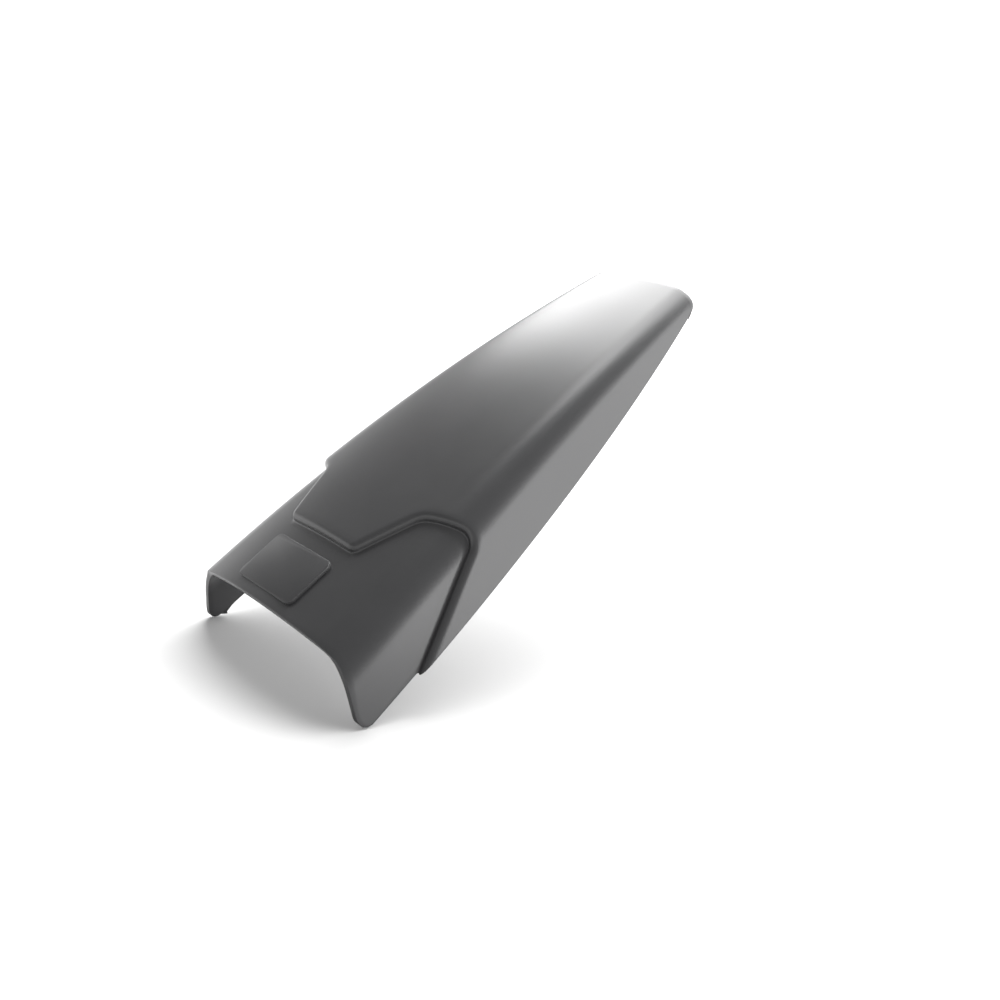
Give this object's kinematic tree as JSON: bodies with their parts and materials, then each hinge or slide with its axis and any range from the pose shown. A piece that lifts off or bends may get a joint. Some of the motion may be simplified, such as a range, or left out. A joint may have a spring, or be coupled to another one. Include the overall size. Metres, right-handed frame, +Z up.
{
  "type": "rear mudguard extender",
  "caption": "Tapering arched shell that carries a motorcycle's rear mudguard further back over the tyre, with a lobed front joint and a hidden tongue that bonds under the guard.",
  "frame": {"origin": "middle of the bonding land's face, on the tongue", "axes": "+X rearwards along the bike, +Y to the bike's right, +Z up, as the part sits on the bike"},
  "size_m": [0.1958, 0.1398, 0.142],
  "materials": {
    "black_abs": "satin moulded black"
  },
  "bodies": {
    "root": {"mudguard_extender": "black_abs"}
  },
  "joints": []
}
